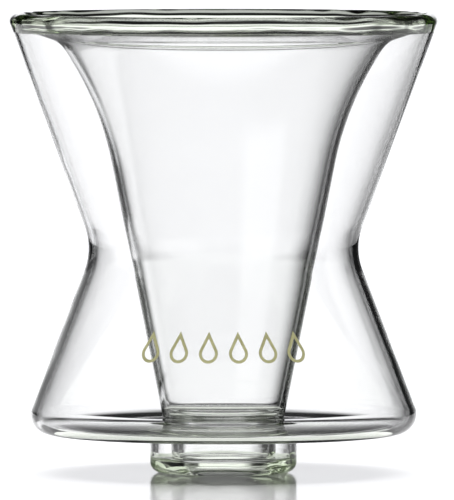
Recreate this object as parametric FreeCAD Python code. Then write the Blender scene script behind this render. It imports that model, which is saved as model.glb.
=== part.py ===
import FreeCAD, Part
import math
import os

# Double-walled glass pour over dripper. Everything except the printed band is
# a body of revolution about Z. Z = 0 is the underside of the foot ring, and
# the printed band faces -Y. All lengths are in millimetres.
#
# Outlines are lists of corners (radius, height, rounding) in the half plane
# of the axis. A wall is one face's corners, the glass thickness of each
# stretch between them, and the roundings of the face on the other side.

# ---- Driving dimensions ----
height = 118.0

# Glass thickness: thin where it was blown out, thicker where it was worked.
upper_wall = 1.25
lower_wall = 1.7
base_wall = 1.6
base_middle_wall = 2.7
collar_wall = 1.25
flare_wall = 1.15
funnel_wall = 1.3
shoulder_wall = 2.0
tube_wall = 1.6

# Outer face of the hourglass: three circles joined by their crossing tangents.
rim_radius = 55.0
bead_radius = 2.0
waist_radius = 34.7
waist_height = 57.8
waist_rounding = 16.0
base_radius = 49.6
base_height = 10.1
base_rounding = 5.0

# Coffee side of the funnel, from the rim down.
flare_slope = math.radians(18.5)
flare_end_radius = 51.0
flare_end_height = 114.85
flare_corner_radius = 41.0
flare_rounding = 8.0
throat_radius = 30.5
throat_height = 95.4
throat_rounding = 82.0
cone_slope = math.tan(math.radians(11.3))
shoulder_height = 15.0
shoulder_rounding = 2.8
shoulder_slope = math.tan(math.radians(8.0))

# Outlet tube inside the collar, and the ring that joins them at the foot.
outlet_radius = 11.8
outlet_lip_rounding = 0.7
collar_radius = 18.85
collar_root_rounding = 1.0
foot_rounding = 3.0
foot_lip_rounding = 3.0
foot_thickness = 3.5

# Where the flame-fused pieces meet.
rim_seam_drop = 2.1
rim_seam_inset = 1.4
tube_seam_height = 11.9
base_seam_inset = 0.6
collar_seam_height = 8.6
foot_seam_height = 5.6

# Roundings of the glass between the two walls.
cavity_top_rounding = 0.5
bead_root_rounding = 0.8
shoulder_far_rounding = 1.0
gap_rounding = 1.0

# Printed band: a row of plain drop outlines in enamel.
drop_count = 6
drop_pitch = 10.1
drop_radius = 2.4
drop_height = 7.9
drop_stroke = 0.75
drop_bottom = 30.5
print_thickness = 0.15

top = FreeCAD.Vector(0, 0, 1)
origin = FreeCAD.Vector(0, 0, 0)


# ---- Plane geometry on (radius, height) pairs ----
def direction(start, end):
    """Unit vector from start to end."""
    dr = end[0] - start[0]
    dz = end[1] - start[1]
    length = math.hypot(dr, dz)
    return dr / length, dz / length


def meeting_point(point_a, along_a, point_b, along_b):
    """Where two lines cross, each given by a point and a direction."""
    cross = along_a[0] * along_b[1] - along_a[1] * along_b[0]
    dr = point_b[0] - point_a[0]
    dz = point_b[1] - point_a[1]
    step = (dr * along_b[1] - dz * along_b[0]) / cross
    return point_a[0] + step * along_a[0], point_a[1] + step * along_a[1]


def crossing_tangent(upper, lower):
    """Line that leaves the upper circle on its outer side when upper is a
    bulge, and on its inner side when upper is a hollow. Each circle is
    (radius, height, rounding, side), with side +1 for outer and -1 for inner.
    Returns a point on the line and its downward direction."""
    dr = lower[0] - upper[0]
    dz = lower[1] - upper[1]
    distance = math.hypot(dr, dz)
    centre_angle = math.atan2(dz, dr)
    lean = math.asin((upper[2] + lower[2]) / distance)
    line_angle = centre_angle - upper[3] * lean
    along = (math.cos(line_angle), math.sin(line_angle))
    outward = (-along[1], along[0])
    reach = upper[3] * upper[2]
    return (upper[0] + reach * outward[0], upper[1] + reach * outward[1]), along


def far_face(corners, thicknesses, roundings):
    """The other face of a wall, to the right of its corners' direction of travel.
    Each stretch between two corners has its own thickness."""
    lines = []
    for start, end, thickness in zip(corners, corners[1:], thicknesses):
        along = direction(start, end)
        lines.append(((start[0] + along[1] * thickness, start[1] - along[0] * thickness), along))
    first = lines[0][0]
    reach = math.dist(corners[-2][:2], corners[-1][:2])
    last = (lines[-1][0][0] + lines[-1][1][0] * reach, lines[-1][0][1] + lines[-1][1][1] * reach)
    between = [meeting_point(*before, *after) for before, after in zip(lines, lines[1:])]
    return [(*place, rounding) for place, rounding in zip([first, *between, last], roundings)]


def vector(point):
    return FreeCAD.Vector(point[0], 0, point[1])


def rounded_face(corners):
    """Flat face with the given corners, each rounded by its third value."""
    edges = []
    starts = []
    ends = []
    arcs = []
    count = len(corners)
    for index, (radius, z, rounding) in enumerate(corners):
        corner = vector((radius, z))
        if not rounding:
            starts.append(corner)
            ends.append(corner)
            arcs.append(None)
            continue
        back = direction(corners[index], corners[index - 1])
        ahead = direction(corners[index], corners[(index + 1) % count])
        half_angle = 0.5 * math.acos(back[0] * ahead[0] + back[1] * ahead[1])
        reach = rounding / math.tan(half_angle)
        bisector = vector(direction((0, 0), (back[0] + ahead[0], back[1] + ahead[1])))
        middle = corner + bisector * (rounding / math.sin(half_angle) - rounding)
        starts.append(corner + vector(back) * reach)
        ends.append(corner + vector(ahead) * reach)
        arcs.append(middle)
    for index in range(count):
        if arcs[index]:
            edges.append(Part.Arc(starts[index], arcs[index], ends[index]).toShape())
        following = (index + 1) % count
        if ends[index].distanceToPoint(starts[following]) > 1e-6:
            edges.append(Part.LineSegment(ends[index], starts[following]).toShape())
    return Part.Face(Part.Wire(edges))


def turned(corners):
    """Solid of revolution of a rounded outline about Z."""
    return rounded_face(corners).revolve(origin, top, 360)


def turned_wall(corners, thicknesses, roundings):
    """Wall of revolution with one face on the corners and the other to their right."""
    return turned(corners + far_face(corners, thicknesses, roundings)[::-1])


# ---- Shared lines and corners ----
bead_circle = (rim_radius - bead_radius, height - bead_radius, bead_radius, 1)
waist_circle = (waist_radius + waist_rounding, waist_height, waist_rounding, -1)
base_circle = (base_radius - base_rounding, base_height + base_rounding, base_rounding, 1)
upper_cone = crossing_tangent(bead_circle, waist_circle)
lower_cone = crossing_tangent(waist_circle, base_circle)
waist_corner = meeting_point(*upper_cone, *lower_cone)
base_corner = meeting_point(*lower_cone, (0, base_height), (1, 0))
rim_corner = meeting_point(*upper_cone, (0, height), (1, 0))

flare_end = (flare_end_radius, flare_end_height)
flare_along = (-math.cos(flare_slope), -math.sin(flare_slope))
shell_seam = (upper_cone[0][0] + rim_seam_drop * upper_cone[1][0],
              upper_cone[0][1] + rim_seam_drop * upper_cone[1][1])
funnel_seam = (flare_end[0] + rim_seam_inset * flare_along[0],
               flare_end[1] + rim_seam_inset * flare_along[1])
flare_corner = meeting_point(flare_end, flare_along, (flare_corner_radius, 0), (0, 1))
shoulder_radius = throat_radius - cone_slope * (throat_height - shoulder_height)
outlet_top = shoulder_height - shoulder_slope * (shoulder_radius - outlet_radius)
base_seam_radius = base_radius - base_rounding - base_seam_inset


# ---- Pieces ----
def rim_bead():
    """Thick bead where both walls are fused, with a short stub of each wall."""
    shell_side = [(*shell_seam, 0), (*rim_corner, 0)]
    shell_far = far_face(shell_side, [-upper_wall], [0, 0])
    funnel_side = [(*flare_end, 0), (*funnel_seam, 0)]
    funnel_far = far_face(funnel_side, [-flare_wall], [0, 0])
    cavity_top = meeting_point(shell_far[0], upper_cone[1], funnel_far[1], flare_along)
    return turned([
        (*shell_seam, 0),
        (*rim_corner, bead_radius),
        (rim_radius - 2 * bead_radius, height, bead_radius),
        (*flare_end, bead_root_rounding),
        (*funnel_seam, 0),
        funnel_far[1],
        (*cavity_top, cavity_top_rounding),
        shell_far[0],
    ])


def inner_funnel():
    """Trumpet-shaped cone that holds the paper filter, down to its shoulder."""
    return turned_wall([
        (*funnel_seam, 0),
        (*flare_corner, flare_rounding),
        (throat_radius, throat_height, throat_rounding),
        (shoulder_radius, shoulder_height, shoulder_rounding),
        (outlet_radius, outlet_top, outlet_lip_rounding),
        (outlet_radius, tube_seam_height, 0),
    ], [
        -flare_wall, -funnel_wall, -funnel_wall, -shoulder_wall, -tube_wall,
    ], [
        0,
        flare_rounding - funnel_wall,
        throat_rounding - funnel_wall,
        shoulder_far_rounding,
        gap_rounding,
        0,
    ])


def outlet_tube():
    """Short tube that carries the coffee from the funnel through the collar."""
    return turned_wall([
        (outlet_radius, tube_seam_height, 0),
        (outlet_radius, foot_seam_height, 0),
    ], [-tube_wall], [0, 0])


def outer_shell():
    """Hourglass outer wall, from below the bead to the rounded base corner."""
    return turned_wall([
        (*shell_seam, 0),
        (*waist_corner, waist_rounding),
        (*base_corner, base_rounding),
        (base_seam_radius, base_height, 0),
    ], [
        upper_wall, lower_wall, base_wall,
    ], [
        0, waist_rounding + lower_wall, base_rounding - base_wall, 0,
    ])


def base_plate():
    """Ring that rests on the mug, flat below and thicker towards its middle, where
    it turns down into the collar."""
    collar_inside = collar_radius - collar_wall
    return turned([
        (base_seam_radius, base_height, 0),
        (collar_radius, base_height, collar_root_rounding),
        (collar_radius, collar_seam_height, 0),
        (collar_inside, collar_seam_height, 0),
        (collar_inside, base_height + base_middle_wall, collar_root_rounding + collar_wall),
        (base_seam_radius, base_height + base_wall, 0),
    ])


def foot_collar():
    """Outer wall of the collar that drops into the mug's mouth."""
    return turned_wall([
        (collar_radius, collar_seam_height, 0),
        (collar_radius, foot_seam_height, 0),
    ], [collar_wall], [0, 0])


def foot_ring():
    """Thick rounded ring that fuses the collar to the outlet tube."""
    return turned([
        (collar_radius, foot_seam_height, 0),
        (collar_radius, 0, foot_rounding),
        (outlet_radius, 0, foot_lip_rounding),
        (outlet_radius, foot_seam_height, 0),
        (outlet_radius + tube_wall, foot_seam_height, 0),
        (outlet_radius + tube_wall, foot_thickness, gap_rounding),
        (collar_radius - collar_wall, foot_thickness, gap_rounding),
        (collar_radius - collar_wall, foot_seam_height, 0),
    ])


def drop_face(size):
    """Flat drop, point up, at full size or smaller, about its round end's centre."""
    radius = drop_radius * size
    tip = (drop_height - drop_radius) * size
    touch_z = radius * radius / tip
    touch_x = math.sqrt(radius * radius - touch_z * touch_z)
    centre_z = drop_bottom + drop_radius
    point = vector((0, centre_z + tip))
    left = vector((-touch_x, centre_z + touch_z))
    right = vector((touch_x, centre_z + touch_z))
    bottom = vector((0, centre_z - radius))
    return Part.Face(Part.Wire([
        Part.LineSegment(point, left).toShape(),
        Part.Arc(left, bottom, right).toShape(),
        Part.LineSegment(right, point).toShape(),
    ]))


def printed_band():
    """Row of drop outlines in enamel, laid on the lower cone of the outer face."""
    level = (0, 1)
    across = (1, 0)
    margin = 0.5
    low = meeting_point(*lower_cone, (0, drop_bottom - margin), across)
    high = meeting_point(*lower_cone, (0, drop_bottom + drop_height + margin), across)
    skin = turned_wall([(*low, 0), (*high, 0)], [print_thickness], [0, 0])
    outline = drop_face(1).cut(drop_face(1 - drop_stroke / drop_radius))
    stamp = outline.extrude(FreeCAD.Vector(0, -2 * base_radius, 0))
    drop = skin.common(stamp).Solids[0]
    drops = []
    for index in range(drop_count):
        copy = drop.copy()
        copy.rotate(origin, top, (index - 0.5 * (drop_count - 1)) * drop_pitch)
        drops.append(copy)
    return Part.makeCompound(drops)


pieces = {
    "rim_bead": rim_bead,
    "inner_funnel": inner_funnel,
    "outlet_tube": outlet_tube,
    "outer_shell": outer_shell,
    "base_plate": base_plate,
    "foot_collar": foot_collar,
    "foot_ring": foot_ring,
    "printed_band": printed_band,
}

os.makedirs("parts", exist_ok=True)
for name, make in pieces.items():
    shape = make()
    if not shape.isValid() or shape.Volume <= 0:
        raise ValueError(name + " is not a sound solid")
    shape.exportStep("parts/" + name + ".step")
    box = shape.optimalBoundingBox(False)
    print(name, len(shape.Solids), "solid", round(shape.Volume), "mm3",
          "r", round(box.XMax, 2), "z", round(box.ZMin, 2), round(box.ZMax, 2))
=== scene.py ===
import math

import bpy
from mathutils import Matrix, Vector


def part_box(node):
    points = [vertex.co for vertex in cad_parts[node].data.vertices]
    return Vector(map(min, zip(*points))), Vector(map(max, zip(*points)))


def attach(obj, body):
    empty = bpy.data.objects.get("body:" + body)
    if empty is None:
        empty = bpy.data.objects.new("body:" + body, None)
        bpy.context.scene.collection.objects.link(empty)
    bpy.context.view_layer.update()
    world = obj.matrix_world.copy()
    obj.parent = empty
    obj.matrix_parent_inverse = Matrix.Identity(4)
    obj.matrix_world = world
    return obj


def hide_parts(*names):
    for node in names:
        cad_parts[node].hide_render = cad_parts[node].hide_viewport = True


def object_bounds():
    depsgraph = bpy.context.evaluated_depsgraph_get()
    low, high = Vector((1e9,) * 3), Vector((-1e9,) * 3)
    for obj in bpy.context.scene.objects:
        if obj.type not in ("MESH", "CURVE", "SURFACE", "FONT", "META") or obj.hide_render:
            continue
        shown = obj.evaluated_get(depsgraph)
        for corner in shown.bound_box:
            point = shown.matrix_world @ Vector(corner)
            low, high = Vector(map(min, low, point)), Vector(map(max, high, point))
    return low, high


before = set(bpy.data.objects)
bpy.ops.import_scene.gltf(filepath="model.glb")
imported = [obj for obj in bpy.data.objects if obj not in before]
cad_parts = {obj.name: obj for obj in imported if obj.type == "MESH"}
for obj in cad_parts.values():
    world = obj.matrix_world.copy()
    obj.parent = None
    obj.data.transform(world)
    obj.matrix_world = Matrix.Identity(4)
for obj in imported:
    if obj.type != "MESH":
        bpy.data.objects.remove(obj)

# A clear double-walled pour over dripper. All lengths are in metres. Every
# glass piece is a body of revolution about Z, drawn as an outline of corners
# (radius, height, rounding) and spun. Z = 0 is the underside of the foot, and
# the printed band faces -Y.

MM = 0.001
cad_low, cad_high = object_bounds()

# ---- Sizes that the CAD frame gives ----
height = cad_high.z
rim_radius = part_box("rim_bead")[1].x
base_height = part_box("outer_shell")[0].z
tube_wall = 1.6 * MM
outlet_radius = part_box("outlet_tube")[1].x - tube_wall
tube_seam_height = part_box("outlet_tube")[1].z
foot_seam_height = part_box("foot_ring")[1].z
collar_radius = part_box("foot_collar")[1].x
collar_seam_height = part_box("foot_collar")[1].z
base_seam_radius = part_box("base_plate")[1].x

# ---- Roundings and places that a box does not give ----
bead_radius = 2.0 * MM
waist_radius = 34.7 * MM
waist_height = 57.8 * MM
waist_rounding = 16.0 * MM
base_radius = 49.6 * MM
base_rounding = 5.0 * MM
upper_wall = 1.25 * MM
lower_wall = 1.7 * MM
base_wall = 1.6 * MM
base_middle_wall = 2.7 * MM
collar_wall = 1.25 * MM
flare_wall = 1.15 * MM
funnel_wall = 1.3 * MM
shoulder_wall = 2.0 * MM
flare_slope = math.radians(18.5)
flare_end = (51.0 * MM, 114.85 * MM)
flare_corner_radius = 41.0 * MM
flare_rounding = 8.0 * MM
throat_radius = 30.5 * MM
throat_height = 95.4 * MM
throat_rounding = 82.0 * MM
cone_slope = math.tan(math.radians(11.3))
shoulder_height = 15.0 * MM
shoulder_rounding = 2.8 * MM
shoulder_slope = math.tan(math.radians(8.0))
outlet_lip_rounding = 0.7 * MM
collar_root_rounding = 1.0 * MM
foot_rounding = 3.0 * MM
foot_lip_rounding = 3.0 * MM
foot_thickness = 3.5 * MM
cavity_top_rounding = 0.5 * MM
bead_root_rounding = 0.8 * MM
shoulder_far_rounding = 1.0 * MM
gap_rounding = 1.0 * MM
rim_seam_drop = 2.1 * MM
rim_seam_inset = 1.4 * MM

# ---- Fineness of the meshes ----
segments = 320
arc_step = math.radians(4.0)
fewest_arc_steps = 4
line_step = 2.0 * MM
shortest_step = 1e-4 * MM
sharp_angle = math.radians(50.0)
seam_gap = 0.01 * MM


# ---- Plane geometry on (radius, height) pairs ----
def direction(start, end):
    """Unit vector from one point towards another."""
    length = math.hypot(end[0] - start[0], end[1] - start[1])
    return (end[0] - start[0]) / length, (end[1] - start[1]) / length


def along(point, way, distance):
    """The point at a distance from another, in a direction."""
    return point[0] + way[0] * distance, point[1] + way[1] * distance


def meeting_point(point_a, way_a, point_b, way_b):
    """Where two lines cross, each given by a point and a direction."""
    cross = way_a[0] * way_b[1] - way_a[1] * way_b[0]
    dr, dz = point_b[0] - point_a[0], point_b[1] - point_a[1]
    return along(point_a, way_a, (dr * way_b[1] - dz * way_b[0]) / cross)


def crossing_tangent(upper, lower):
    """Tangent line between two circles (radius, height, rounding, side) that it
    passes on opposite sides, as a point and a downward direction. A circle's side
    is 1 where it lies between the axis and the line, and -1 where it lies beyond."""
    dr, dz = lower[0] - upper[0], lower[1] - upper[1]
    lean = math.asin((upper[2] + lower[2]) / math.hypot(dr, dz))
    angle = math.atan2(dz, dr) - upper[3] * lean
    way = (math.cos(angle), math.sin(angle))
    return along(upper, (-way[1], way[0]), upper[3] * upper[2]), way


def far_face(corners, thicknesses, roundings):
    """Other face of a wall, to the right of its corners' direction of travel, or to
    the left where the thickness is negative."""
    lines = []
    for start, end, thickness in zip(corners, corners[1:], thicknesses):
        way = direction(start, end)
        lines.append((along(start, (way[1], -way[0]), thickness), way))
    last = along(*lines[-1], math.dist(corners[-2][:2], corners[-1][:2]))
    between = [meeting_point(*before, *after) for before, after in zip(lines, lines[1:])]
    return [(*place, rounding) for place, rounding in zip([lines[0][0], *between, last], roundings)]


def rounded_points(corners):
    """Closed outline as points: round corners and straight stretches both divided."""
    count = len(corners)
    points = []
    for index, (radius, z, rounding) in enumerate(corners):
        corner = (radius, z)
        if not rounding:
            points.append(corner)
            continue
        back = direction(corner, corners[index - 1])
        ahead = direction(corner, corners[(index + 1) % count])
        half = 0.5 * math.acos(back[0] * ahead[0] + back[1] * ahead[1])
        start = along(corner, back, rounding / math.tan(half))
        end = along(corner, ahead, rounding / math.tan(half))
        middle_way = direction((0, 0), (back[0] + ahead[0], back[1] + ahead[1]))
        centre = along(corner, middle_way, rounding / math.sin(half))
        first = math.atan2(start[1] - centre[1], start[0] - centre[0])
        sweep = math.atan2(end[1] - centre[1], end[0] - centre[0]) - first
        sweep = (sweep + math.pi) % (2 * math.pi) - math.pi
        steps = max(fewest_arc_steps, math.ceil(abs(sweep) / arc_step),
                    math.ceil(abs(sweep) * rounding / line_step))
        for step in range(steps + 1):
            angle = first + sweep * step / steps
            points.append(along(centre, (math.cos(angle), math.sin(angle)), rounding))
    divided = []
    for index, point in enumerate(points):
        following = points[(index + 1) % len(points)]
        span = math.hypot(following[0] - point[0], following[1] - point[1])
        if span < shortest_step:
            continue
        steps = max(1, math.ceil(span / line_step))
        for step in range(steps):
            share = step / steps
            divided.append((point[0] + (following[0] - point[0]) * share,
                            point[1] + (following[1] - point[1]) * share))
    return divided


def spun(name, corners, material):
    """Closed mesh of revolution about Z from a rounded outline."""
    outline = rounded_points(corners)
    count = len(outline)
    vertices = []
    for turn in range(segments):
        angle = 2 * math.pi * turn / segments
        cos, sin = math.cos(angle), math.sin(angle)
        vertices.extend((r * cos, r * sin, z) for r, z in outline)
    faces = []
    for turn in range(segments):
        this, that = turn * count, ((turn + 1) % segments) * count
        for index in range(count):
            following = (index + 1) % count
            faces.append((this + index, that + index, that + following, this + following))
    mesh = bpy.data.meshes.new(name)
    mesh.from_pydata(vertices, [], faces)
    mesh.update()
    area = sum(a[0] * b[1] - b[0] * a[1] for a, b in zip(outline, outline[1:] + outline[:1]))
    if area < 0:
        mesh.flip_normals()
    mesh.shade_smooth()
    mesh.set_sharp_from_angle(angle=sharp_angle)
    mesh.materials.append(material)
    piece = bpy.data.objects.new(name, mesh)
    bpy.context.scene.collection.objects.link(piece)
    return piece


def shortened(corners):
    """Path with both ends drawn back by half the seam gap."""
    first = along(corners[0], direction(corners[0], corners[1]), seam_gap / 2)
    last = along(corners[-1], direction(corners[-1], corners[-2]), seam_gap / 2)
    return [(*first, 0), *corners[1:-1], (*last, 0)]


def wall_outline(corners, thicknesses, roundings):
    """Outline of a wall with one face on the path and the other beside it."""
    path = shortened(corners)
    return path + far_face(path, thicknesses, roundings)[::-1]


# ---- Shared lines and corners ----
bead_circle = (rim_radius - bead_radius, height - bead_radius, bead_radius, 1)
waist_circle = (waist_radius + waist_rounding, waist_height, waist_rounding, -1)
base_circle = (base_radius - base_rounding, base_height + base_rounding, base_rounding, 1)
upper_cone = crossing_tangent(bead_circle, waist_circle)
lower_cone = crossing_tangent(waist_circle, base_circle)
waist_corner = meeting_point(*upper_cone, *lower_cone)
base_corner = meeting_point(*lower_cone, (0, base_height), (1, 0))
rim_corner = meeting_point(*upper_cone, (0, height), (1, 0))
flare_way = (-math.cos(flare_slope), -math.sin(flare_slope))
shell_seam = along(*upper_cone, rim_seam_drop)
funnel_seam = along(flare_end, flare_way, rim_seam_inset)
flare_corner = meeting_point(flare_end, flare_way, (flare_corner_radius, 0), (0, 1))
shoulder_radius = throat_radius - cone_slope * (throat_height - shoulder_height)
outlet_top = shoulder_height - shoulder_slope * (shoulder_radius - outlet_radius)


def rim_bead_outline():
    """The bead, with a stub of each wall and the top of the cavity between them."""
    shell_side = [(*shell_seam, 0), (*rim_corner, 0)]
    shell_far = far_face(shell_side, [-upper_wall], [0, 0])
    funnel_side = [(*flare_end, 0), (*funnel_seam, 0)]
    funnel_far = far_face(funnel_side, [-flare_wall], [0, 0])
    cavity_top = meeting_point(shell_far[0], upper_cone[1], funnel_far[1], flare_way)
    return [
        (*shell_seam, 0),
        (*rim_corner, bead_radius),
        (rim_radius - 2 * bead_radius, height, bead_radius),
        (*flare_end, bead_root_rounding),
        (*funnel_seam, 0),
        funnel_far[1],
        (*cavity_top, cavity_top_rounding),
        shell_far[0],
    ]


def foot_ring_outline():
    """The thick ring, with a stub of the collar and of the outlet tube on it."""
    return [
        (collar_radius, foot_seam_height, 0),
        (collar_radius, 0, foot_rounding),
        (outlet_radius, 0, foot_lip_rounding),
        (outlet_radius, foot_seam_height, 0),
        (outlet_radius + tube_wall, foot_seam_height, 0),
        (outlet_radius + tube_wall, foot_thickness, gap_rounding),
        (collar_radius - collar_wall, foot_thickness, gap_rounding),
        (collar_radius - collar_wall, foot_seam_height, 0),
    ]


def funnel_outline():
    return wall_outline([
        (*funnel_seam, 0),
        (*flare_corner, flare_rounding),
        (throat_radius, throat_height, throat_rounding),
        (shoulder_radius, shoulder_height, shoulder_rounding),
        (outlet_radius, outlet_top, outlet_lip_rounding),
        (outlet_radius, tube_seam_height, 0),
    ], [
        -flare_wall, -funnel_wall, -funnel_wall, -shoulder_wall, -tube_wall,
    ], [
        0, flare_rounding - funnel_wall, throat_rounding - funnel_wall,
        shoulder_far_rounding, gap_rounding, 0,
    ])


def tube_outline():
    return wall_outline([
        (outlet_radius, tube_seam_height, 0),
        (outlet_radius, foot_seam_height, 0),
    ], [-tube_wall], [0, 0])


def shell_outline():
    return wall_outline([
        (*shell_seam, 0),
        (*waist_corner, waist_rounding),
        (*base_corner, base_rounding),
        (base_seam_radius, base_height, 0),
    ], [
        upper_wall, lower_wall, base_wall,
    ], [
        0, waist_rounding + lower_wall, base_rounding - base_wall, 0,
    ])


def base_outline():
    """The base, thicker towards the middle and turned down into the collar."""
    outer_edge = base_seam_radius - seam_gap / 2
    collar_inside = collar_radius - collar_wall
    collar_end = collar_seam_height + seam_gap / 2
    return [
        (outer_edge, base_height, 0),
        (collar_radius, base_height, collar_root_rounding),
        (collar_radius, collar_end, 0),
        (collar_inside, collar_end, 0),
        (collar_inside, base_height + base_middle_wall, collar_root_rounding + collar_wall),
        (outer_edge, base_height + base_wall, 0),
    ]


def collar_outline():
    return wall_outline([
        (collar_radius, collar_seam_height, 0),
        (collar_radius, foot_seam_height, 0),
    ], [collar_wall], [0, 0])


# ---- Materials ----
def new_material(name):
    """Material with its nodes, its links and its Principled shader."""
    material = bpy.data.materials.new(name)
    material.use_nodes = True
    nodes = material.node_tree.nodes
    return material, nodes, material.node_tree.links, nodes["Principled BSDF"]


def noise(nodes, links, scales, detail):
    """Noise in the object's own metres, stretched by the scale along each axis."""
    place = nodes.new("ShaderNodeMapping")
    place.inputs["Scale"].default_value = scales
    links.new(nodes.new("ShaderNodeTexCoord").outputs["Object"], place.inputs["Vector"])
    texture = nodes.new("ShaderNodeTexNoise")
    texture.inputs["Scale"].default_value = 1.0
    texture.inputs["Detail"].default_value = detail
    links.new(place.outputs["Vector"], texture.inputs["Vector"])
    return texture.outputs["Fac"]


def bump(nodes, links, shader, relief, depth):
    """Relief of a depth in metres on the shader's normal."""
    node = nodes.new("ShaderNodeBump")
    node.inputs["Strength"].default_value = 1.0
    node.inputs["Distance"].default_value = depth
    links.new(relief, node.inputs["Height"])
    links.new(node.outputs["Normal"], shader.inputs["Normal"])


glass_index = 1.474
glass_green = (0.64, 0.82, 0.38, 1)
blown_ripple_scales = (28, 28, 90)
worked_ripple_scales = (60, 60, 90)


def clear_glass(name, density, ripple, scales):
    """Clear glass that shows green where it is thick, with ripples of a depth and scale."""
    material, nodes, links, shader = new_material(name)
    shader.inputs["Base Color"].default_value = (1, 1, 1, 1)
    shader.inputs["Roughness"].default_value = 0.0
    shader.inputs["IOR"].default_value = glass_index
    shader.inputs["Transmission Weight"].default_value = 1.0
    bump(nodes, links, shader, noise(nodes, links, scales, 1.0), ripple)
    absorb = nodes.new("ShaderNodeVolumeAbsorption")
    absorb.inputs["Color"].default_value = glass_green
    absorb.inputs["Density"].default_value = density
    links.new(absorb.outputs["Volume"], nodes["Material Output"].inputs["Volume"])
    return material


def enamel():
    """Satin olive print with a fine screen grain and a little unevenness in its colour."""
    material, nodes, links, shader = new_material("enamel")
    olives = nodes.new("ShaderNodeValToRGB")
    darker, lighter = olives.color_ramp.elements
    darker.position, darker.color = 0.35, (0.36, 0.35, 0.18, 1)
    lighter.position, lighter.color = 0.65, (0.43, 0.42, 0.23, 1)
    links.new(noise(nodes, links, (700, 700, 700), 3.0), olives.inputs["Fac"])
    links.new(olives.outputs["Color"], shader.inputs["Base Color"])
    shader.inputs["Roughness"].default_value = 0.42
    bump(nodes, links, shader, noise(nodes, links, (4000, 4000, 4000), 2.0), 0.01 * MM)
    return material


# The flame-worked rim and foot are more uneven than the blown walls. The ripples'
# depths are those of the bump, and the densities are per metre.
thin_glass = clear_glass("clear_glass", 5.0, 0.06 * MM, blown_ripple_scales)
base_glass = clear_glass("base_glass", 12.0, 0.3 * MM, blown_ripple_scales)
rim_glass = clear_glass("rim_glass", 60.0, 2.4 * MM, worked_ripple_scales)
foot_glass = clear_glass("foot_glass", 22.0, 2.4 * MM, worked_ripple_scales)

# ---- Pieces ----
glass_pieces = {
    "rim_bead": (rim_bead_outline(), rim_glass),
    "inner_funnel": (funnel_outline(), thin_glass),
    "outlet_tube": (tube_outline(), thin_glass),
    "outer_shell": (shell_outline(), thin_glass),
    "base_plate": (base_outline(), base_glass),
    "foot_collar": (collar_outline(), thin_glass),
    "foot_ring": (foot_ring_outline(), foot_glass),
}
for node, (outline, glass) in glass_pieces.items():
    piece = spun(node + "_glass", outline, glass)
    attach(piece, "root")
    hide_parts(node)

printed_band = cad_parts["printed_band"]
printed_band.data.materials.clear()
printed_band.data.materials.append(enamel())


# ---- Floor ----
floor_radius = 700 * MM
# Outer radius of the ring round the foot that carries a painted glow.
painted_glow_ring_radius = 51 * MM
# Colour of the painted glow of that ring.
painted_glow_colour = (0.95, 1.0, 0.92, 1)


def sheet(name, inner_radius, outer_radius, z, colour, roughness, glow=0.0):
    """Round level sheet of the stage, with a hole in it where the inner radius isn't 0."""
    corners = 128
    turns = [2 * math.pi * corner / corners for corner in range(corners)]
    points = [(radius * math.cos(turn), radius * math.sin(turn), 0)
              for radius in (inner_radius, outer_radius) for turn in turns]
    faces = []
    for corner in range(corners):
        following = (corner + 1) % corners
        faces.append((corner, corners + corner, corners + following, following))
    mesh = bpy.data.meshes.new(name)
    mesh.from_pydata(points, [], faces)
    material, *_, shader = new_material(name)
    shader.inputs["Base Color"].default_value = colour
    shader.inputs["Roughness"].default_value = roughness
    # A glow above 0 is painted light: the sheet emits though it is no lamp.
    shader.inputs["Emission Color"].default_value = painted_glow_colour
    shader.inputs["Emission Strength"].default_value = glow
    mesh.materials.append(material)
    stage = bpy.data.objects.new(name, mesh)
    stage.location.z = z
    bpy.context.scene.collection.objects.link(stage)
    return stage


# Painted light: light that the glass bends passes through the floor and meets a faintly glowing
# ring round the foot that nothing else sees. Its glow stands in for the lit tabletop seen through
# the glass, though the ring is no lamp.
tabletop = sheet("floor", 0, floor_radius, -0.02 * MM, (0.85, 0.85, 0.86, 1), 0.12)
tabletop.visible_transmission = False
# Painted glow: an emitting ring, no lamp, seen only by light that the glass bends.
painted_glow_ring = sheet(
    "painted_glow_ring", collar_radius, painted_glow_ring_radius, -0.01 * MM, (0.4, 0.4, 0.4, 1), 0.6, glow=0.77)
painted_glow_ring.visible_camera = False
painted_glow_ring.visible_diffuse = False
painted_glow_ring.visible_glossy = False
painted_glow_ring.visible_shadow = False


# ---- Light ----
# The glass stands in a dark room with white backdrops, which are windows of light in
# the world. A window is its brightness by azimuth (0 is +Y, growing towards +X) times
# its brightness by height above the horizon. Each is a row of stops of (degrees,
# brightness): straight between two stops, and level beyond the first and the last.
dark = 0.006
all_round = [(-180, 1.0), (180, 1.0)]
# The bright stretches are behind the object in level views from the front, the right
# and the back, and the dark ones between them give the glass its dark outlines.
level_backdrop = (
    [(-160, 0.30), (-140, dark), (-112, dark), (-103, 1.0), (-77, 1.0), (-68, dark),
     (-15, dark), (-10, 1.0), (0.5, 1.0), (5, 0.95), (9, 0.45), (13, dark), (140, dark),
     (160, 0.30)],
    [(-8.8, dark), (-5.9, 1.0), (7, 1.0), (9.5, 0.4), (12, 0.12), (40, 0.12), (45, 0.0)],
)
# These two are behind the object in a view from the front right and the back left.
backdrop_from_front_right = (
    [(-72, 0.0), (-66, 0.88), (-37, 0.88), (-33, 0.0)],
    [(-50, 0.0), (-42, 1.0), (-14, 1.0), (-11, 0.0)],
)
backdrop_from_back_left = (
    [(108, 0.0), (118, 0.88), (152, 0.88), (162, 0.0)],
    [(-40, 0.0), (-32, 1.0), (-5, 1.0), (2, 0.0)],
)
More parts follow.
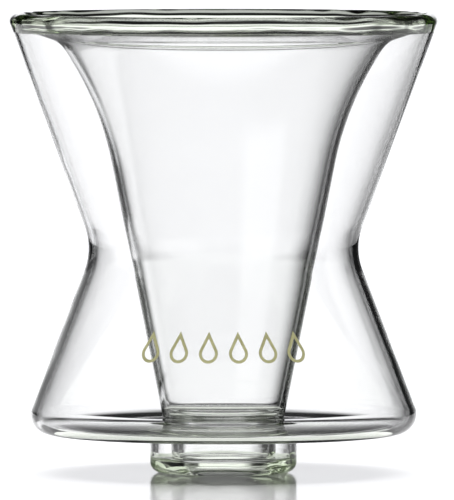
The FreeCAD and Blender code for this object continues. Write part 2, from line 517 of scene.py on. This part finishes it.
# These two brighten the left walls and the near edge of the base in the front view.
left_card = (
    [(-40, 0.0), (-34, 1.0), (-14, 1.0), (-12, 0.0)],
    [(-16, 0.0), (-14, 0.8), (-10, 0.8), (-9, 0.0), (0.5, 0.0), (1.5, 0.12), (7, 0.12), (8, 0.0)],
)
lit_table = (
    [(-16, 0.0), (-10, 1.0), (10, 1.0), (16, 0.0)],
    [(-50, 0.0), (-44, 0.45), (-25, 0.45), (-20, 0.0)],
)
table_from_above = (all_round, [(-62, 0.7), (-54, 0.0)])
ceiling = (all_round, [(50, 0.0), (60, 0.25)])
windows = [level_backdrop, backdrop_from_front_right, backdrop_from_back_left, left_card,
           lit_table, ceiling, table_from_above]
backdrop_light = 1.23
backdrop_colour = (0.972, 0.975, 1.0, 1)
room_light = 0.004


def studio_world():
    """World with the brightest window in each direction, and plain white to the camera."""
    world = bpy.data.worlds.new("studio")
    world.use_nodes = True
    bpy.context.scene.world = world
    nodes, links = world.node_tree.nodes, world.node_tree.links

    def calculate(operation, *values):
        """Sum, product or function of sockets and numbers, as a socket."""
        node = nodes.new("ShaderNodeMath")
        node.operation = operation
        for index, value in enumerate(values):
            if isinstance(value, float):
                node.inputs[index].default_value = value
            else:
                links.new(value, node.inputs[index])
        return node.outputs[0]

    def brightness(angle, half_range, stops):
        """Ramp of a window's stops over an angle from -half_range to half_range."""
        node = nodes.new("ShaderNodeValToRGB")
        share = calculate("ADD", calculate("DIVIDE", angle, 2.0 * half_range), 0.5)
        links.new(share, node.inputs["Fac"])
        places = [0.5 + 0.5 * math.radians(degrees) / half_range for degrees, _ in stops]
        elements = node.color_ramp.elements
        elements[0].position, elements[-1].position = places[0], places[-1]
        for place in places[1:-1]:
            elements.new(place)
        for element, (_, level) in zip(elements, stops):
            element.color = (level, level, level, 1)
        return node.outputs["Color"]

    parts = nodes.new("ShaderNodeSeparateXYZ")
    links.new(nodes.new("ShaderNodeTexCoord").outputs["Generated"], parts.inputs[0])
    azimuth = calculate("ARCTAN2", parts.outputs["X"], parts.outputs["Y"])
    elevation = calculate("ARCSINE", parts.outputs["Z"])
    brightest = 0.0
    for across, upwards in windows:
        window = calculate("MULTIPLY", brightness(azimuth, math.pi, across),
                           brightness(elevation, math.pi / 2, upwards))
        brightest = calculate("MAXIMUM", brightest, window)
    light = calculate("ADD", calculate("MULTIPLY", brightest, backdrop_light), room_light)
    rays = nodes.new("ShaderNodeLightPath")
    seen = calculate("MULTIPLY", rays.outputs["Is Camera Ray"], backdrop_light)
    nodes["Background"].inputs["Color"].default_value = backdrop_colour
    links.new(calculate("MAXIMUM", light, seen), nodes["Background"].inputs["Strength"])


def softbox(name, place, target, size, power):
    """Area light, with its power in watts, that the glass neither bends nor reflects."""
    light = bpy.data.lights.new(name, "AREA")
    light.shape = "RECTANGLE"
    light.size, light.size_y = size
    light.energy = power
    lamp = bpy.data.objects.new(name, light)
    lamp.location = place
    lamp.rotation_mode = "QUATERNION"
    lamp.rotation_quaternion = (Vector(target) - Vector(place)).to_track_quat("-Z", "Y")
    lamp.visible_transmission = False
    lamp.visible_glossy = False
    bpy.context.scene.collection.objects.link(lamp)


studio_world()
softbox("overhead_softbox", place=(0, 0.4, 1.1), target=(0, 0, 0), size=(1.8, 1.8), power=38)
softbox("front_fill", place=(0, -1.6, 0.25), target=(0, 0, 0.04), size=(0.8, 0.3), power=14)


# ---- Camera ----
def camera():
    """Long lens, a little above level, aimed at the middle of the view."""
    distance = 2.56
    focal_length_mm = 718.0
    pitch = math.radians(2.617)
    middle = Vector((0.9 * MM, 0, 57.2 * MM))
    data = bpy.data.cameras.new("camera")
    data.lens = focal_length_mm
    data.clip_start, data.clip_end = 0.05, 100
    shooter = bpy.data.objects.new("camera", data)
    back = Vector((0, -math.cos(pitch), math.sin(pitch)))
    shooter.location = middle + back * distance
    shooter.rotation_mode = "QUATERNION"
    shooter.rotation_quaternion = (-back).to_track_quat("-Z", "Y")
    bpy.context.scene.collection.objects.link(shooter)
    bpy.context.scene.camera = shooter


camera()
scene = bpy.context.scene
scene.view_settings.view_transform = "Standard"
# A ray through the rim or the foot crosses many glass faces.
scene.cycles.max_bounces = 32
scene.cycles.transmission_bounces = 32
scene.cycles.glossy_bounces = 16
